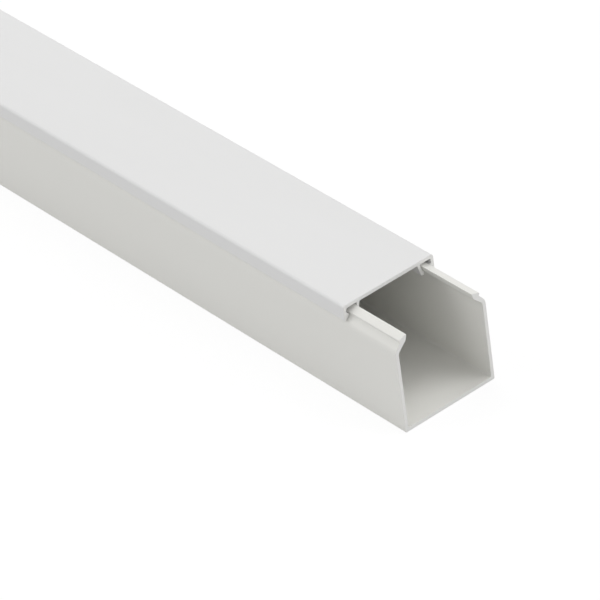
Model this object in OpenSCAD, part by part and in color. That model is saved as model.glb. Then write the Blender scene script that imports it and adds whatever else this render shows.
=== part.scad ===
// Cable trunking: a square channel of rigid PVC with a lid that clips over its two lips.
// X runs along the length, Z points away from the wall it is fixed to, and the origin is the
// middle of the channel's back face. Both pieces are extrusions, so each is one section drawn
// from its left side, mirrored about the middle and drawn out along X.

/* [Trunking] */
// Length that the stock is cut to
length = 2000; // [500:50:3000]
// Outside width of the channel
width = 40; // [30:1:100]
// Outside height with the lid on
height = 40; // [25:1:100]
// Thickness of the channel's back and sides
wall = 1.4; // [1:0.1:2]
// Radius of the channel's two outer back edges
back_edge_r = 0.5; // [0.2:0.1:1]
// Fillet inside the channel, between its back and its sides
back_fillet_r = 0.8; // [0.3:0.1:2]

/* [Lip] */
// Slope of the shoulder that leads each side in to its lip, in degrees from level
shoulder_slope = 51; // [46:1:54]
// Slope of the shoulder's inner face
soffit_slope = 45; // [42:1:48]
// Thickness of the shoulder where it leaves the side
shoulder_t = 1.4; // [1.2:0.1:1.8]
// Outer radius of the bend from a side into its shoulder
shoulder_r = 4; // [2.5:0.1:5]
// How far the lip reaches in from the outside of the channel
lip_reach = 5.6; // [5.2:0.1:6]
// Width of the lip's top face
lip_w = 3.4; // [3:0.1:3.6]
// Fall of the lip's top face towards the outside, in degrees
lip_fall = 18; // [10:1:25]
// Height of the lip's blunt outer edge
lip_nose_h = 0.5; // [0.4:0.1:0.8]
// Rounding of the top of that edge
lip_nose_r = 0.4; // [0.2:0.1:0.5]
// Lean of the lip's inner face from upright, in degrees
lip_lean = 15; // [10:1:18]
// Height of the groove under the lip's outer edge
groove_h = 0.5; // [0.4:0.1:0.8]
// Rounding of the lip's lower inner edge
heel_r = 2; // [0.5:0.1:3]
// Rounding of the lip's other edges
lip_edge_r = 0.2; // [0.1:0.05:0.3]

/* [Lid] */
// Thickness of the lid's plate
lid_t = 1.4; // [1:0.1:2]
// Radius of the lid's two outer edges
lid_edge_r = 1.2; // [0.5:0.1:2]
// Thickness of the lid's skirts where they leave the plate
skirt_t = 1.2; // [1:0.1:1.4]
// Fillet between the skirts and the plate
skirt_fillet_r = 0.7; // [0.2:0.1:0.8]
// Width of each skirt's blunt lower edge
skirt_edge_w = 0.75; // [0.5:0.05:0.9]
// Thickness of the lid's inner legs
leg_t = 1.1; // [0.8:0.1:1.5]
// Lean of the legs beyond that of the lips' inner faces, in degrees
leg_splay = 1; // [0:1:5]
// How far the hook at each leg's end reaches out under the lip
hook_w = 0.5; // [0.3:0.1:0.8]
// How far the leg runs on below the edge of its hook
leg_end_h = 1.3; // [0.5:0.1:2]
// Fillets where the legs join the plate
lid_fillet_r = 0.3; // [0.1:0.05:0.4]
// Rounding of the edges of the skirts and legs
clip_edge_r = 0.2; // [0.1:0.05:0.25]
// How far the lid is slid back from the channel's near end
setback = 25.5; // [0:0.5:200]

/* [Fits] */
// Play between the lip and the lid's clip on either side of it, measured across the channel
clip_gap = 0.25; // [0.2:0.05:0.4]
// How far the ridge on the skirt reaches in under the lip's outer edge
ridge_catch = 0.15; // [0.1:0.05:0.25]
// Play between the top of the lip and the lid's plate
lid_gap = 0.6; // [0.4:0.05:0.8]

/* [Hidden] */
// Straight pieces that stand for each rounded corner
arc_steps = 5;
pvc_channel = [0.88, 0.88, 0.86];
pvc_lid = [0.91, 0.91, 0.90];

// Underside of the lid's plate, and the highest edge of the lip below it
plate_z = height - lid_t;
lip_z = plate_z - lid_gap;

// The lip's outer edge, and the groove under it that the skirt's ridge snaps into
nose_u = lip_reach - lip_w;
nose_top_z = lip_z - lip_w * tan(lip_fall);
nose_low_z = nose_top_z - lip_nose_h;
ridge_u = nose_u + ridge_catch;
groove_u = ridge_u + clip_gap;
groove_z = nose_low_z - groove_h;

// Height at which the shoulder's outer and inner faces would meet the outside of the channel
shoulder_z = groove_z - groove_u * tan(shoulder_slope);
soffit_z = shoulder_z - shoulder_t / cos(soffit_slope);

// The lip's lower inner edge, where its leaning face meets the shoulder's inner face
heel_u = (lip_reach - (lip_z - soffit_z) * tan(lip_lean)) / (1 - tan(soffit_slope) * tan(lip_lean));
heel_z = soffit_z + heel_u * tan(soffit_slope);

// The skirt's lower edge, one clip gap out from the shoulder
skirt_z = shoulder_z + (skirt_edge_w + clip_gap) * tan(shoulder_slope);

// The leg passes the lip's heel one clip gap further in, and hooks round under it
leg_lean = lip_lean + leg_splay;
leg_w = leg_t / cos(leg_lean);
leg_u = heel_u + clip_gap;
leg_root_u = leg_u + (plate_z - heel_z) * tan(leg_lean);
hook_u = leg_u - hook_w;
hook_z = heel_z - hook_w * tan(soffit_slope);
leg_z = hook_z - leg_end_h;
leg_end_u = leg_u - (heel_z - leg_z) * tan(leg_lean);

// Left half of the channel's section: [inset from its outside, height, corner radius]
channel_half = [
    [0, 0, back_edge_r],
    [0, shoulder_z, shoulder_r],
    [groove_u, groove_z, lip_edge_r],
    [nose_u, nose_low_z, lip_edge_r / 2],
    [nose_u, nose_top_z, lip_nose_r],
    [lip_reach, lip_z, lip_edge_r],
    [heel_u, heel_z, heel_r],
    [wall, soffit_z + wall * tan(soffit_slope), shoulder_r - wall],
    [wall, wall, back_fillet_r],
];

// Left half of the lid's section, with its ridged skirt outside the lip and its hooked leg inside it
lid_half = [
    [0, height, lid_edge_r],
    [0, skirt_z, clip_edge_r],
    [skirt_edge_w, skirt_z, clip_edge_r / 2],
    [ridge_u, groove_z, clip_edge_r],
    [skirt_t, nose_top_z, lid_fillet_r],
    [skirt_t, plate_z, skirt_fillet_r],
    [leg_root_u, plate_z, lid_fillet_r],
    [leg_u, heel_z, clip_edge_r],
    [hook_u, hook_z, clip_edge_r],
    [leg_end_u, leg_z, clip_edge_r],
    [leg_end_u + leg_w, leg_z, clip_edge_r],
    [leg_root_u + leg_w, plate_z, lid_fillet_r],
];

// A whole section from its left half, about the middle of the channel
function both_sides(half) = concat(
    [for (p = half) [p.x - width / 2, p.y, p.z]],
    [for (i = [len(half) - 1 : -1 : 0]) [width / 2 - half[i].x, half[i].y, half[i].z]]
);

function flat(p) = [p.x, p.y];

function unit(v) = v / norm(v);

// Points of the arc that rounds the corner at b, on the way from a to c
function corner(a, b, c) =
    let (
        to_a = unit(flat(a) - flat(b)),
        to_c = unit(flat(c) - flat(b)),
        half_angle = acos(to_a * to_c) / 2,
        centre = flat(b) + unit(to_a + to_c) * b.z / sin(half_angle),
        first = flat(b) + to_a * b.z / tan(half_angle) - centre,
        last = flat(b) + to_c * b.z / tan(half_angle) - centre,
        sweep = 180 - 2 * half_angle
    )
    [for (i = [0 : arc_steps])
        centre + (first * sin(sweep * (1 - i / arc_steps)) + last * sin(sweep * i / arc_steps)) / sin(sweep)];

// An outline's points, with each corner rounded to its own radius
function rounded(outline) =
    let (n = len(outline))
    [for (i = [0 : n - 1]) each corner(outline[(i + n - 1) % n], outline[i], outline[(i + 1) % n])];

// A stock length of a section, lying along X
module extrusion(half) {
    rotate([90, 0, 90])
        linear_extrude(height = length, center = true)
            polygon(rounded(both_sides(half)));
}

module trunking_base() {
    color(pvc_channel) extrusion(channel_half);
}

module trunking_lid() {
    color(pvc_lid) translate([-setback, 0, 0]) extrusion(lid_half);
}

trunking_base();
trunking_lid();
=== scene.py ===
"""Cable trunking: a square PVC channel and its clip-on lid, each drawn out from its section."""
import math
from types import SimpleNamespace

import bpy
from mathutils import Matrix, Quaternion, Vector


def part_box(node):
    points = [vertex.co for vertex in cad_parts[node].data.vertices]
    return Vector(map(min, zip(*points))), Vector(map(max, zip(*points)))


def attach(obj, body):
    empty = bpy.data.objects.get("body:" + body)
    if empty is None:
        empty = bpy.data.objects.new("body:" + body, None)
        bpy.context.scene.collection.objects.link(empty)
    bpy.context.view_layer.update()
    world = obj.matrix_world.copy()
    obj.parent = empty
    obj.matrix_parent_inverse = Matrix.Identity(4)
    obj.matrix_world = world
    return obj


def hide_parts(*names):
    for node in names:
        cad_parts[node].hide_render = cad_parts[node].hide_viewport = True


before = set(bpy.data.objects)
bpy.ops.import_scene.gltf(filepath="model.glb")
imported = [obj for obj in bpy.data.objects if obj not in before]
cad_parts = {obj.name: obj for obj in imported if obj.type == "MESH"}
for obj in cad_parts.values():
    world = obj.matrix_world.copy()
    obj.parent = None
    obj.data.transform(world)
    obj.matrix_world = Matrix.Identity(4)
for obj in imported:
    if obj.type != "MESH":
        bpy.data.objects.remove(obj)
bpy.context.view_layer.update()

bl_info = {
    "name": "Cable Trunking",
    "version": (1, 0, 0),
    "blender": (4, 5, 0),
    "location": "View3D > Sidebar > Trunking",
    "description": "Draws out a PVC cable channel and its clip-on lid from their sections",
    "category": "Add Mesh",
}

CHANNEL_NODE = "trunking_base"
LID_NODE = "trunking_lid"
CHANNEL_LOW, CHANNEL_HIGH = (Vector(corner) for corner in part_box(CHANNEL_NODE))
LID_HIGH = Vector(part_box(LID_NODE)[1])

# How far a finished piece may stray from the box of the solid that it replaces
BOX_TOLERANCE = 0.0002
# Edges that turn by more than this stay sharp in the shading
SHARP_ANGLE = math.radians(30)
# A face whose normal lies this far along the length is a sawn end
SAWN_FACING = 0.9

# Refractive index of rigid PVC
PVC_IOR = 1.53
# Features a metre along the length, across it and up: die lines, grain and slow mottling
DIE_LINES = (0.7, 900.0, 900.0)
GRAIN = (2200.0, 3600.0, 3600.0)
MOTTLING = (9.0, 45.0, 45.0)
# The same for the marks on a sawn end, and their slant from level
SAW_MARKS = (0.0, 160.0, 2600.0)
SAW_SLANT = math.radians(12)
# How many finer layers a noise has, and how strong each is beside the one before it
LINE_LAYERS = 3.0
FINE_LAYERS = 2.0
LAYER_STRENGTH = 0.55

# Every image is square, and this wide in pixels
IMAGE_PIXELS = 600
# Distance between neighbouring nodes in a node editor
NODE_SPACING = 200


def length_property(name, default, description):
    """A length in metres that a user may change."""
    return bpy.props.FloatProperty(
        name=name, description=description, default=default, min=0.0, precision=5, unit="LENGTH")


def angle_property(name, degrees, description):
    """An angle that a user may change, given here in degrees."""
    return bpy.props.FloatProperty(
        name=name, description=description, default=math.radians(degrees), subtype="ANGLE")


def factor_property(name, default, description):
    """A plain share or strength from nought to one."""
    return bpy.props.FloatProperty(
        name=name, description=description, default=default, min=0.0, max=1.0, subtype="FACTOR")


def strength_property(name, default, description):
    """A strength of light, with no upper end."""
    return bpy.props.FloatProperty(name=name, description=description, default=default, min=0.0)


def colour_property(name, default, description):
    """A colour in linear red, green and blue."""
    return bpy.props.FloatVectorProperty(
        name=name, description=description, default=default, min=0.0, max=1.0, size=3, subtype="COLOR")


class TrunkingSizes(bpy.types.PropertyGroup):
    """Sizes of the stock and of the two sections that it is drawn out from."""

    length: length_property("Length", CHANNEL_HIGH.x - CHANNEL_LOW.x, "Length of both pieces")
    width: length_property("Width", CHANNEL_HIGH.y - CHANNEL_LOW.y, "Outside width of the channel")
    height: length_property("Height", LID_HIGH.z - CHANNEL_LOW.z, "Outside height with the lid on")
    setback: length_property("Setback", CHANNEL_HIGH.x - LID_HIGH.x, "How far the lid is slid back")
    wall: length_property("Wall", 0.0014, "Thickness of the channel's back and sides")
    back_edge_radius: length_property("Back Edge Radius", 0.0005, "Radius of the outer back edges")
    back_fillet: length_property("Back Fillet", 0.0008, "Fillet between the back and the sides")

    shoulder_slope: angle_property("Shoulder Slope", 51, "Slope of the shoulders from level")
    soffit_slope: angle_property("Soffit Slope", 45, "Slope of the shoulders' inner faces")
    shoulder_thickness: length_property("Shoulder Thickness", 0.0014, "Thickness at the sides")
    shoulder_radius: length_property("Shoulder Radius", 0.004, "Outer radius from side to shoulder")
    lip_reach: length_property("Lip Reach", 0.0056, "How far the lips reach in from the outside")
    lip_width: length_property("Lip Width", 0.0034, "Width of each lip's top face")
    lip_fall: angle_property("Lip Fall", 18, "Fall of the lips' top faces towards the outside")
    lip_nose_height: length_property("Lip Nose Height", 0.0005, "Height of the lips' blunt outer edges")
    lip_nose_radius: length_property("Lip Nose Radius", 0.0004, "Rounding of the top of those edges")
    lip_lean: angle_property("Lip Lean", 15, "Lean of the lips' inner faces from upright")
    groove_height: length_property("Groove Height", 0.0005, "Height of the grooves under the lips")
    heel_radius: length_property("Heel Radius", 0.002, "Rounding of the lips' lower inner edges")
    lip_edge_radius: length_property("Lip Edge Radius", 0.0002, "Rounding of the lips' other edges")

    lid_thickness: length_property("Lid Thickness", 0.0014, "Thickness of the lid's plate")
    lid_edge_radius: length_property("Lid Edge Radius", 0.0012, "Radius of the lid's outer edges")
    skirt_thickness: length_property("Skirt Thickness", 0.0012, "Thickness of the lid's skirts")
    skirt_fillet: length_property("Skirt Fillet", 0.0007, "Fillets between the skirts and the plate")
    skirt_edge_width: length_property("Skirt Edge Width", 0.00075, "Width of the skirts' lower edges")
    leg_thickness: length_property("Leg Thickness", 0.0011, "Thickness of the lid's inner legs")
    leg_splay: angle_property("Leg Splay", 1, "Lean of the legs beyond that of the lips")
    hook_width: length_property("Hook Width", 0.0005, "Reach of the hooks out under the lips")
    leg_end_height: length_property("Leg End Height", 0.0013, "Run of the legs below their hooks")
    lid_fillet: length_property("Lid Fillet", 0.0003, "Fillets between the legs and the plate")
    clip_edge_radius: length_property("Clip Edge Radius", 0.0002, "Rounding of the skirts and legs")

    clip_gap: length_property("Clip Gap", 0.00025, "Play between a lip and the lid's clip")
    ridge_catch: length_property("Ridge Catch", 0.00015, "Reach of the skirts' ridges under the lips")
    lid_gap: length_property("Lid Gap", 0.0006, "Play between the lips and the lid's plate")

    deburr: length_property("Deburr", 0.00005, "Bevel left on the edges of the sawn ends")
    corner_points: bpy.props.IntProperty(
        name="Corner Points", description="Points on each rounded corner", default=12, min=2)
    spans: bpy.props.IntProperty(
        name="Spans", description="Stretches that the length is divided into", default=20, min=2)


class TrunkingFinish(bpy.types.PropertyGroup):
    """Colours and surface of the extruded PVC."""

    channel_colour: colour_property("Channel Colour", (0.833, 0.829, 0.792), "Warm white of the channel")
    lid_colour: colour_property("Lid Colour", (0.80, 0.80, 0.797), "White of the lid")
    # Whiter than the stock: partly the paler sawn PVC, partly painted light that stands in for light
    # falling on the end faces
    sawn_and_lit_colour: colour_property("Sawn And Lit Colour", (0.867, 0.865, 0.846), "Whiter sawn ends, partly painted light")
    mottle: factor_property("Mottle", 0.02, "How much the colour varies from place to place")
    roughness: factor_property("Roughness", 0.42, "Roughness of the satin surface")
    roughness_spread: factor_property("Roughness Spread", 0.08, "How much the roughness varies")
    die_line_depth: length_property("Die Line Depth", 0.000015, "Depth of the lines along the length")
    grain_depth: length_property("Grain Depth", 0.000005, "Depth of the fine grain of the surface")
    saw_mark_depth: length_property("Saw Mark Depth", 0.00008, "Depth of the marks on the sawn ends")


class TrunkingStage(bpy.types.PropertyGroup):
    """Floor, light and camera."""

    floor_size: length_property("Floor Size", 40.0, "Length and width of the floor")
    floor_gap: length_property("Floor Gap", 0.0001, "Play between the floor and the channel's back")
    floor_colour: colour_property("Floor Colour", (0.72, 0.72, 0.72), "Pale colour of the floor")
    floor_glow: factor_property("Floor Glow", 0.82, "Share of plain white in the floor as it is seen")
    floor_white: strength_property("Floor White", 1.09, "Strength of that white")
    sky_strength: strength_property("Sky Strength", 0.51, "Strength of the even light from all round")
    key_strength: strength_property("Key Strength", 0.49, "Strength of the soft light from above")
    key_spread: angle_property("Key Spread", 25, "Width of the soft light from above")
    key_azimuth: angle_property("Key Azimuth", 240, "Side that the soft light comes from")
    key_elevation: angle_property("Key Elevation", 68, "Height that the soft light comes from")
    front_strength: strength_property("Front Strength", 0.68, "Strength of the side light in front")
    back_strength: strength_property("Back Strength", 0.79, "Strength of the side light behind")
    side_spread: angle_property("Side Spread", 40, "Width of both side lights")
    side_azimuth: angle_property("Side Azimuth", 315, "Side of the one in front; the other is opposite")
    side_elevation: angle_property("Side Elevation", 38, "Height that both side lights come from")
    camera_azimuth: angle_property("Camera Azimuth", 54.796, "Camera's side, from the front towards +X")
    camera_elevation: angle_property("Camera Elevation", 35.102, "Camera's height above level")
    camera_roll: angle_property("Camera Roll", -8.414, "Turn of the camera about its line of sight")
    camera_offset: bpy.props.FloatVectorProperty(
        name="Camera Offset", description="Camera's place from the near end's back edge",
        default=(0.98508, -0.7498, 0.92135), size=3, unit="LENGTH", subtype="TRANSLATION")
    focal_pixels: bpy.props.FloatProperty(
        name="Focal Length", description="Focal length in pixels of the image", default=4600.0, min=1.0)


def section_levels(s):
    """Insets u from the channel's outside and heights z that the two sections share."""
    at = SimpleNamespace()
    at.plate_z = s.height - s.lid_thickness
    at.lip_z = at.plate_z - s.lid_gap

    # The lip's outer edge, and the groove under it that the skirt's ridge snaps into
    at.nose_u = s.lip_reach - s.lip_width
    at.nose_top_z = at.lip_z - s.lip_width * math.tan(s.lip_fall)
    at.nose_low_z = at.nose_top_z - s.lip_nose_height
    at.ridge_u = at.nose_u + s.ridge_catch
    at.groove_u = at.ridge_u + s.clip_gap
    at.groove_z = at.nose_low_z - s.groove_height

    # Heights at which the shoulder's outer and inner faces would meet the channel's outside
    rise = math.tan(s.shoulder_slope)
    inner_rise = math.tan(s.soffit_slope)
    lean = math.tan(s.lip_lean)
    at.shoulder_z = at.groove_z - at.groove_u * rise
    at.soffit_z = at.shoulder_z - s.shoulder_thickness / math.cos(s.soffit_slope)
    at.wall_z = at.soffit_z + s.wall * inner_rise

    # The lip's lower inner edge, where its leaning face meets the shoulder's inner face
    at.heel_u = (s.lip_reach - (at.lip_z - at.soffit_z) * lean) / (1 - inner_rise * lean)
    at.heel_z = at.soffit_z + at.heel_u * inner_rise

    # The skirt's lower edge, and the leg that passes the lip's heel and hooks round under it
    at.skirt_z = at.shoulder_z + (s.skirt_edge_width + s.clip_gap) * rise
    leg_slope = math.tan(s.lip_lean + s.leg_splay)
    at.leg_width = s.leg_thickness / math.cos(s.lip_lean + s.leg_splay)
    at.leg_u = at.heel_u + s.clip_gap
    at.leg_root_u = at.leg_u + (at.plate_z - at.heel_z) * leg_slope
    at.hook_u = at.leg_u - s.hook_width
    at.hook_z = at.heel_z - s.hook_width * inner_rise
    at.leg_z = at.hook_z - s.leg_end_height
    at.leg_end_u = at.leg_u - (at.heel_z - at.leg_z) * leg_slope
    return at


def channel_half(s):
    """Left half of the channel's section, as inset, height and corner radius."""
    at = section_levels(s)
    return [
        (0.0, 0.0, s.back_edge_radius),
        (0.0, at.shoulder_z, s.shoulder_radius),
        (at.groove_u, at.groove_z, s.lip_edge_radius),
        (at.nose_u, at.nose_low_z, s.lip_edge_radius / 2),
        (at.nose_u, at.nose_top_z, s.lip_nose_radius),
        (s.lip_reach, at.lip_z, s.lip_edge_radius),
        (at.heel_u, at.heel_z, s.heel_radius),
        (s.wall, at.wall_z, s.shoulder_radius - s.wall),
        (s.wall, s.wall, s.back_fillet),
    ]


def lid_half(s):
    """Left half of the lid's section, with its ridged skirt and its hooked leg."""
    at = section_levels(s)
    return [
        (0.0, s.height, s.lid_edge_radius),
        (0.0, at.skirt_z, s.clip_edge_radius),
        (s.skirt_edge_width, at.skirt_z, s.clip_edge_radius / 2),
        (at.ridge_u, at.groove_z, s.clip_edge_radius),
        (s.skirt_thickness, at.nose_top_z, s.lid_fillet),
        (s.skirt_thickness, at.plate_z, s.skirt_fillet),
        (at.leg_root_u, at.plate_z, s.lid_fillet),
        (at.leg_u, at.heel_z, s.clip_edge_radius),
        (at.hook_u, at.hook_z, s.clip_edge_radius),
        (at.leg_end_u, at.leg_z, s.clip_edge_radius),
        (at.leg_end_u + at.leg_width, at.leg_z, s.clip_edge_radius),
        (at.leg_root_u + at.leg_width, at.plate_z, s.lid_fillet),
    ]


def outline_object(name, half, width):
    """An object whose mesh is the whole section's corners, flat on X and Y, with their radii."""
    left = [(inset - width / 2, height, radius) for inset, height, radius in half]
    right = [(-across, height, radius) for across, height, radius in left]
    corners = left + right[::-1]
    count = len(corners)
    # Counter-clockwise, so that the drawn out faces point outwards
    twice_area = sum(a[0] * b[1] - b[0] * a[1] for a, b in zip(corners, corners[1:] + corners[:1]))
    if twice_area < 0:
        corners.reverse()
    mesh = bpy.data.meshes.new(name)
    mesh.from_pydata(
        [(across, height, 0.0) for across, height, radius in corners],
        [(i, (i + 1) % count) for i in range(count)], [])
    radii = mesh.attributes.new("corner_radius", "FLOAT", "POINT")
    radii.data.foreach_set("value", [radius for across, height, radius in corners])
    outline = bpy.data.objects.new(name, mesh)
    bpy.context.scene.collection.objects.link(outline)
    return outline


def add_node(tree, kind, inputs=None, **settings):
    """A new node with its settings, and with its inputs set or linked."""
    made = tree.nodes.new(kind)
    made.location.x = NODE_SPACING * len(tree.nodes)
    for name, value in settings.items():
        setattr(made, name, value)
    for name, value in (inputs or {}).items():
        if isinstance(value, bpy.types.NodeSocket):
            tree.links.new(value, made.inputs[name])
        else:
            made.inputs[name].default_value = value
    return made


def maths(tree, operation, first, second=0.0):
    """The result of one Math node."""
    return add_node(tree, "ShaderNodeMath", {0: first, 1: second}, operation=operation).outputs[0]


def extrusion_tree():
    """Geometry Nodes that round a section's corners, draw it out along X and deburr its ends."""
    tree = bpy.data.node_groups.new("Drawn Out Section", "GeometryNodeTree")
    face = tree.interface
    face.new_socket("Outline", in_out="INPUT", socket_type="NodeSocketGeometry")
    for name in ("Length", "Middle", "Deburr"):
        face.new_socket(name, in_out="INPUT", socket_type="NodeSocketFloat")
    for name in ("Corner Points", "Spans"):
        face.new_socket(name, in_out="INPUT", socket_type="NodeSocketInt")
    face.new_socket("Material", in_out="INPUT", socket_type="NodeSocketMaterial")
    face.new_socket("Mesh", in_out="OUTPUT", socket_type="NodeSocketGeometry")
    given = add_node(tree, "NodeGroupInput").outputs

    # The section, with an arc at each corner, turned so that the sweep lays its axes on Y and Z
    radius = add_node(tree, "GeometryNodeInputNamedAttribute", {"Name": "corner_radius"})
    loop = add_node(tree, "GeometryNodeMeshToCurve", {"Mesh": given["Outline"]})
    rounded = add_node(tree, "GeometryNodeFilletCurve", {
        "Curve": loop.outputs["Curve"], "Count": given["Corner Points"],
        "Radius": radius.outputs["Attribute"]}, mode="POLY")
    section = add_node(tree, "GeometryNodeTransform", {
        "Geometry": rounded.outputs["Curve"], "Rotation": (0.0, 0.0, math.pi)})

    # The rail, in even spans with one short span for the bevel at each end: three points more than spans
    half = maths(tree, "MULTIPLY", given["Length"], 0.5)
    inner = maths(tree, "SUBTRACT", half, given["Deburr"])
    line = add_node(tree, "GeometryNodeCurvePrimitiveLine")
    even = add_node(tree, "GeometryNodeResampleCurve", {
        "Curve": line.outputs["Curve"], "Count": maths(tree, "ADD", given["Spans"], 3.0)})
    spread = add_node(tree, "ShaderNodeMapRange", {
        "Value": add_node(tree, "GeometryNodeInputIndex").outputs["Index"],
        "From Min": 1.0, "From Max": maths(tree, "ADD", given["Spans"], 1.0),
        "To Min": maths(tree, "MULTIPLY", inner, -1.0), "To Max": inner}, clamp=False)
    along = add_node(tree, "ShaderNodeClamp", {
        "Value": spread.outputs["Result"], "Min": maths(tree, "MULTIPLY", half, -1.0), "Max": half})
    place = add_node(tree, "ShaderNodeCombineXYZ", {"X": along.outputs["Result"]})
    rail = add_node(tree, "GeometryNodeSetPosition", {
        "Geometry": even.outputs["Curve"], "Position": place.outputs["Vector"]})
    drawn = add_node(tree, "GeometryNodeCurveToMesh", {
        "Curve": rail.outputs["Geometry"], "Profile Curve": section.outputs["Geometry"],
        "Fill Caps": True})

    # The end rings are drawn in by the bevel. Their normals lean half way towards the end, which leaves
    # the outward part shorter by the square root of two.
    position = add_node(tree, "GeometryNodeInputPosition")
    from_middle = maths(tree, "ABSOLUTE", add_node(
        tree, "ShaderNodeSeparateXYZ", {"Vector": position.outputs["Position"]}).outputs["X"])
    at_end = maths(tree, "GREATER_THAN", from_middle, maths(
        tree, "SUBTRACT", half, maths(tree, "MULTIPLY", given["Deburr"], 0.5)))
    normal = add_node(tree, "ShaderNodeSeparateXYZ", {
        "Vector": add_node(tree, "GeometryNodeInputNormal").outputs["Normal"]})
    outward = add_node(tree, "ShaderNodeCombineXYZ", {
        "Y": normal.outputs["Y"], "Z": normal.outputs["Z"]})
    draw_in = add_node(tree, "ShaderNodeVectorMath", {
        "Vector": outward.outputs["Vector"],
        "Scale": maths(tree, "MULTIPLY", given["Deburr"], -math.sqrt(2))}, operation="SCALE")
    deburred = add_node(tree, "GeometryNodeSetPosition", {
        "Geometry": drawn.outputs["Mesh"], "Selection": at_end, "Offset": draw_in.outputs["Vector"]})

    # The sawn ends are marked for the material, and the stock is moved to its place
    sawn = maths(tree, "GREATER_THAN", maths(tree, "ABSOLUTE", normal.outputs["X"]), SAWN_FACING)
    marked = add_node(tree, "GeometryNodeStoreNamedAttribute", {
        "Geometry": deburred.outputs["Geometry"], "Name": "sawn_end", "Value": sawn},
        data_type="FLOAT", domain="FACE")
    shift = add_node(tree, "ShaderNodeCombineXYZ", {"X": given["Middle"]})
    placed = add_node(tree, "GeometryNodeTransform", {
        "Geometry": marked.outputs["Geometry"], "Translation": shift.outputs["Vector"]})
    real = add_node(tree, "GeometryNodeRealizeInstances", {"Geometry": placed.outputs["Geometry"]})
    done = add_node(tree, "GeometryNodeSetMaterial", {
        "Geometry": real.outputs["Geometry"], "Material": given["Material"]})
    add_node(tree, "NodeGroupOutput", {"Mesh": done.outputs["Geometry"]})
    return tree


def draw_out(name, half, sizes, middle, material):
    """A finished extrusion: its section drawn out by the shared tree and made a plain mesh."""
    tree = bpy.data.node_groups.get("Drawn Out Section") or extrusion_tree()
    outline = outline_object(name + "_outline", half, sizes.width)
    modifier = outline.modifiers.new("Draw out", "NODES")
    modifier.node_group = tree
    values = {
        "Length": sizes.length, "Middle": middle, "Deburr": sizes.deburr,
        "Corner Points": sizes.corner_points, "Spans": sizes.spans, "Material": material,
    }
    for socket in tree.interface.items_tree:
        if socket.name in values:
            modifier[socket.identifier] = values[socket.name]
    evaluated = outline.evaluated_get(bpy.context.evaluated_depsgraph_get())
    mesh = bpy.data.meshes.new_from_object(evaluated)
    mesh.name = name
    mesh.shade_smooth()
    mesh.set_sharp_from_angle(angle=SHARP_ANGLE)
    bpy.data.objects.remove(outline)
    piece = bpy.data.objects.new(name, mesh)
    bpy.context.scene.collection.objects.link(piece)
    return piece


def check_fit(piece, node):
    """Stops the script if a piece isn't the size of the solid that it stands for."""
    low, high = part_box(node)
    for axis in range(3):
        reach = [corner[axis] for corner in piece.bound_box]
        misfit = max(abs(min(reach) - low[axis]), abs(max(reach) - high[axis]))
        if misfit > BOX_TOLERANCE:
            raise RuntimeError(f"{piece.name} strays from {node} by {misfit} m on axis {axis}")


def shader_group(name, inputs, outputs):
    """An empty shader node group that takes a place and values, and puts out values."""
    group = bpy.data.node_groups.new(name, "ShaderNodeTree")
    group.interface.new_socket("Place", in_out="INPUT", socket_type="NodeSocketVector")
    for label in inputs:
        group.interface.new_socket(label, in_out="INPUT", socket_type="NodeSocketFloat")
    for label in outputs:
        group.interface.new_socket(label, in_out="OUTPUT", socket_type="NodeSocketFloat")
    return group, add_node(group, "NodeGroupInput").outputs


def noise(tree, place, features, layers):
    """Noise between nought and one, with its own number of features a metre on each axis."""
    scaled = add_node(tree, "ShaderNodeVectorMath", {0: place, 1: features}, operation="MULTIPLY")
    texture = add_node(tree, "ShaderNodeTexNoise", {
        "Vector": scaled.outputs["Vector"], "Scale": 1.0, "Detail": layers, "Roughness": LAYER_STRENGTH})
    return texture.outputs["Fac"]


def extruded_surface_group():
    """Die lines along the length, fine grain and slow mottling of an extruded surface."""
    name = "Extruded Surface"
    if name in bpy.data.node_groups:
        return bpy.data.node_groups[name]
    group, given = shader_group(name, ("Die Line Depth", "Grain Depth"), ("Height", "Mottle"))
    lines = noise(group, given["Place"], DIE_LINES, LINE_LAYERS)
    grain = noise(group, given["Place"], GRAIN, FINE_LAYERS)
    mottle = noise(group, given["Place"], MOTTLING, FINE_LAYERS)
    height = maths(group, "ADD", maths(group, "MULTIPLY", lines, given["Die Line Depth"]),
                   maths(group, "MULTIPLY", grain, given["Grain Depth"]))
    add_node(group, "NodeGroupOutput", {"Height": height, "Mottle": mottle})
    return group


def sawn_end_group():
    """Fine slanting saw marks, only where the mask is set."""
    name = "Sawn End"
    if name in bpy.data.node_groups:
        return bpy.data.node_groups[name]
    group, given = shader_group(name, ("Mask", "Depth"), ("Height", "Marks"))
    turned = add_node(group, "ShaderNodeMapping", {
        "Vector": given["Place"], "Rotation": (SAW_SLANT, 0.0, 0.0)})
    marks = noise(group, turned.outputs["Vector"], SAW_MARKS, FINE_LAYERS)
    shown = maths(group, "MULTIPLY", marks, given["Mask"])
    height = maths(group, "MULTIPLY", shown, given["Depth"])
    add_node(group, "NodeGroupOutput", {"Height": height, "Marks": shown})
    return group


def opaque(colour, strength=1.0):
    """A colour times a strength, with the alpha that a colour socket takes."""
    return (*(strength * part for part in colour), 1.0)


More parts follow.
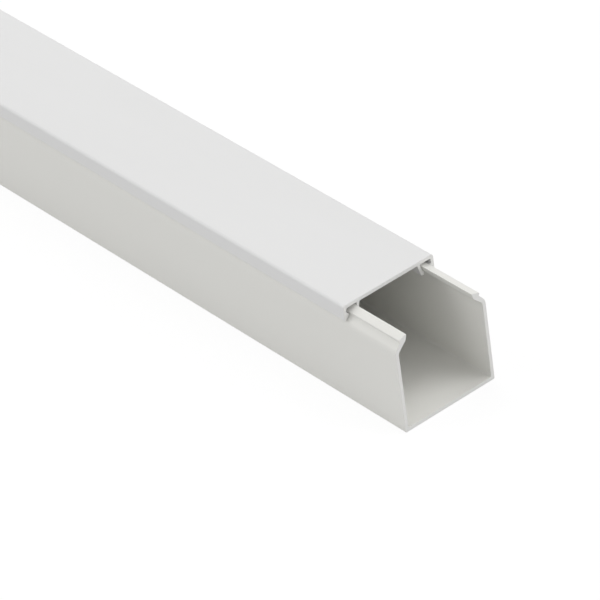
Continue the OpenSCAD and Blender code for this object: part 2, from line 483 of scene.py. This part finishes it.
def pvc(name, colour, finish):
    """Satin PVC as it leaves the die, with sawn ends."""
    material = bpy.data.materials.new(name)
    material.use_nodes = True
    tree = material.node_tree
    tree.nodes.clear()
    place = add_node(tree, "ShaderNodeTexCoord").outputs["Object"]
    surface = add_node(tree, "ShaderNodeGroup", node_tree=extruded_surface_group())
    saw = add_node(tree, "ShaderNodeGroup", node_tree=sawn_end_group())
    sawn = add_node(tree, "ShaderNodeAttribute", attribute_name="sawn_end")
    tree.links.new(place, surface.inputs["Place"])
    tree.links.new(place, saw.inputs["Place"])
    tree.links.new(sawn.outputs["Fac"], saw.inputs["Mask"])
    surface.inputs["Die Line Depth"].default_value = finish.die_line_depth
    surface.inputs["Grain Depth"].default_value = finish.grain_depth
    saw.inputs["Depth"].default_value = finish.saw_mark_depth

    mottled = add_node(tree, "ShaderNodeMix", {
        "Factor": surface.outputs["Mottle"], "A": opaque(colour, 1 - finish.mottle),
        "B": opaque(colour, 1 + finish.mottle)}, data_type="RGBA")
    # The sawn ends take a whiter colour: partly the paler sawn PVC, partly painted light on the end
    # faces
    shown = add_node(tree, "ShaderNodeMix", {
        "Factor": sawn.outputs["Fac"], "A": mottled.outputs["Result"],
        "B": opaque(finish.sawn_and_lit_colour)}, data_type="RGBA")
    rough = add_node(tree, "ShaderNodeMapRange", {
        "Value": maths(tree, "ADD", surface.outputs["Mottle"], saw.outputs["Marks"]),
        "To Min": finish.roughness - finish.roughness_spread / 2,
        "To Max": finish.roughness + finish.roughness_spread / 2}, clamp=False)
    bump = add_node(tree, "ShaderNodeBump", {
        "Strength": 1.0, "Distance": 1.0,
        "Height": maths(tree, "ADD", surface.outputs["Height"], saw.outputs["Height"])})
    shader = add_node(tree, "ShaderNodeBsdfPrincipled", {
        "Base Color": shown.outputs["Result"], "Roughness": rough.outputs["Result"], "IOR": PVC_IOR,
        "Normal": bump.outputs["Normal"]})
    add_node(tree, "ShaderNodeOutputMaterial", {"Surface": shader.outputs["BSDF"]})
    return material


def seen_directly(tree):
    """One for rays that the camera, a gloss or a clear surface sends, and nought for other light."""
    path = add_node(tree, "ShaderNodeLightPath").outputs
    mirrored = maths(tree, "MAXIMUM", path["Is Glossy Ray"], path["Is Transmission Ray"])
    return maths(tree, "MAXIMUM", path["Is Camera Ray"], mirrored)


def floor_material(stage):
    """A pale floor that is seen as white, with a light shadow."""
    material = bpy.data.materials.new("Pale Floor")
    material.use_nodes = True
    tree = material.node_tree
    tree.nodes.clear()
    matt = add_node(tree, "ShaderNodeBsdfDiffuse", {"Color": opaque(stage.floor_colour)})
    white = add_node(tree, "ShaderNodeEmission", {"Strength": stage.floor_white})
    share = maths(tree, "MULTIPLY", seen_directly(tree), stage.floor_glow)
    mixed = add_node(tree, "ShaderNodeMixShader", {
        0: share, 1: matt.outputs["BSDF"], 2: white.outputs["Emission"]})
    add_node(tree, "ShaderNodeOutputMaterial", {"Surface": mixed.outputs["Shader"]})
    return material


def add_floor(stage):
    """The floor that the channel lies on."""
    reach = stage.floor_size / 2
    level = CHANNEL_LOW.z - stage.floor_gap
    corners = ((-1, -1), (1, -1), (1, 1), (-1, 1))
    mesh = bpy.data.meshes.new("floor")
    mesh.from_pydata([(x * reach, y * reach, level) for x, y in corners], [], [(0, 1, 2, 3)])
    mesh.materials.append(floor_material(stage))
    floor = bpy.data.objects.new("floor", mesh)
    bpy.context.scene.collection.objects.link(floor)


def add_sky(stage):
    """A world that is seen as white, and lights the trunking evenly from all round."""
    world = bpy.data.worlds.new("Studio")
    world.use_nodes = True
    tree = world.node_tree
    tree.nodes.clear()
    white_light = (1.0, 1.0, 1.0, 1.0)
    even = add_node(tree, "ShaderNodeBackground", {
        "Color": white_light, "Strength": stage.sky_strength})
    white = add_node(tree, "ShaderNodeBackground", {"Color": white_light, "Strength": 1.0})
    mixed = add_node(tree, "ShaderNodeMixShader", {
        0: seen_directly(tree), 1: even.outputs["Background"], 2: white.outputs["Background"]})
    add_node(tree, "ShaderNodeOutputWorld", {"Surface": mixed.outputs["Shader"]})
    bpy.context.scene.world = world


def direction(azimuth, elevation):
    """The way to a point round the object: azimuth turns from the front, -Y, towards +X."""
    level = math.cos(elevation)
    return Vector((math.sin(azimuth) * level, -math.cos(azimuth) * level, math.sin(elevation)))


def add_lamp(name, strength, spread, azimuth, elevation):
    """One wide soft light, the same along the whole length."""
    data = bpy.data.lights.new(name, "SUN")
    data.energy = strength
    data.angle = spread
    lamp = bpy.data.objects.new(name, data)
    lamp.rotation_mode = "QUATERNION"
    lamp.rotation_quaternion = direction(azimuth, elevation).to_track_quat("Z", "Y")
    bpy.context.scene.collection.objects.link(lamp)


def add_lamps(stage):
    """A soft light from above, and two that face each other across the trunking."""
    add_lamp("Key", stage.key_strength, stage.key_spread, stage.key_azimuth, stage.key_elevation)
    opposite = stage.side_azimuth + math.pi
    add_lamp("Front", stage.front_strength, stage.side_spread, stage.side_azimuth, stage.side_elevation)
    add_lamp("Back", stage.back_strength, stage.side_spread, opposite, stage.side_elevation)


def add_camera(stage):
    """A long lens that looks down on the near end, turned a little about its line of sight."""
    data = bpy.data.cameras.new("Camera")
    data.sensor_fit = "HORIZONTAL"
    data.lens = stage.focal_pixels / IMAGE_PIXELS * data.sensor_width
    camera = bpy.data.objects.new("Camera", data)
    near_end = Vector((CHANNEL_HIGH.x, (CHANNEL_LOW.y + CHANNEL_HIGH.y) / 2, CHANNEL_LOW.z))
    camera.location = near_end + Vector(stage.camera_offset)
    camera.rotation_mode = "QUATERNION"
    facing = direction(stage.camera_azimuth, stage.camera_elevation).to_track_quat("Z", "Y")
    camera.rotation_quaternion = facing @ Quaternion((0, 0, 1), stage.camera_roll)
    bpy.context.scene.collection.objects.link(camera)
    bpy.context.scene.camera = camera


class TRUNKING_OT_channel(bpy.types.Operator):
    """Draws out the open channel with its two lips"""

    bl_idname = "trunking.channel"
    bl_label = "Channel"

    def execute(self, context):
        sizes, finish = context.scene.trunking_sizes, context.scene.trunking_finish
        material = pvc("Channel PVC", finish.channel_colour, finish)
        piece = draw_out("channel", channel_half(sizes), sizes, 0.0, material)
        check_fit(piece, CHANNEL_NODE)
        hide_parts(CHANNEL_NODE)
        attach(piece, "base")
        return {"FINISHED"}


class TRUNKING_OT_lid(bpy.types.Operator):
    """Draws out the lid with its skirts and its hooked legs"""

    bl_idname = "trunking.lid"
    bl_label = "Lid"

    def execute(self, context):
        sizes, finish = context.scene.trunking_sizes, context.scene.trunking_finish
        material = pvc("Lid PVC", finish.lid_colour, finish)
        piece = draw_out("lid", lid_half(sizes), sizes, -sizes.setback, material)
        check_fit(piece, LID_NODE)
        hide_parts(LID_NODE)
        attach(piece, "lid")
        return {"FINISHED"}


class TRUNKING_OT_stage(bpy.types.Operator):
    """Sets out the floor, the light and the camera"""

    bl_idname = "trunking.stage"
    bl_label = "Stage"

    def execute(self, context):
        stage = context.scene.trunking_stage
        add_floor(stage)
        add_sky(stage)
        add_lamps(stage)
        add_camera(stage)
        context.scene.view_settings.view_transform = "Standard"
        return {"FINISHED"}


class TRUNKING_PT_sidebar(bpy.types.Panel):
    """Sizes, finish and stage of the trunking, and what makes each piece"""

    bl_idname = "TRUNKING_PT_sidebar"
    bl_label = "Cable Trunking"
    bl_space_type = "VIEW_3D"
    bl_region_type = "UI"
    bl_category = "Trunking"

    def draw(self, context):
        scene = context.scene
        for heading, group, operators in (
                ("Sizes", scene.trunking_sizes, ("trunking.channel", "trunking.lid")),
                ("Finish", scene.trunking_finish, ()),
                ("Stage", scene.trunking_stage, ("trunking.stage",))):
            box = self.layout.box()
            box.label(text=heading)
            for name in group.__annotations__:
                box.prop(group, name)
            for idname in operators:
                box.operator(idname)


CLASSES = (
    TrunkingSizes, TrunkingFinish, TrunkingStage,
    TRUNKING_OT_channel, TRUNKING_OT_lid, TRUNKING_OT_stage, TRUNKING_PT_sidebar,
)


def register():
    """Adds the classes, and their settings on the scene."""
    for cls in CLASSES:
        bpy.utils.register_class(cls)
    bpy.types.Scene.trunking_sizes = bpy.props.PointerProperty(type=TrunkingSizes)
    bpy.types.Scene.trunking_finish = bpy.props.PointerProperty(type=TrunkingFinish)
    bpy.types.Scene.trunking_stage = bpy.props.PointerProperty(type=TrunkingStage)


def unregister():
    """Takes the settings and the classes away again."""
    del bpy.types.Scene.trunking_stage
    del bpy.types.Scene.trunking_finish
    del bpy.types.Scene.trunking_sizes
    for cls in reversed(CLASSES):
        bpy.utils.unregister_class(cls)


def main():
    """Makes the stage and both pieces, each held to the box of the solid that it replaces."""
    register()
    bpy.ops.trunking.stage()
    bpy.ops.trunking.channel()
    bpy.ops.trunking.lid()


if __name__ == "__main__":
    main()
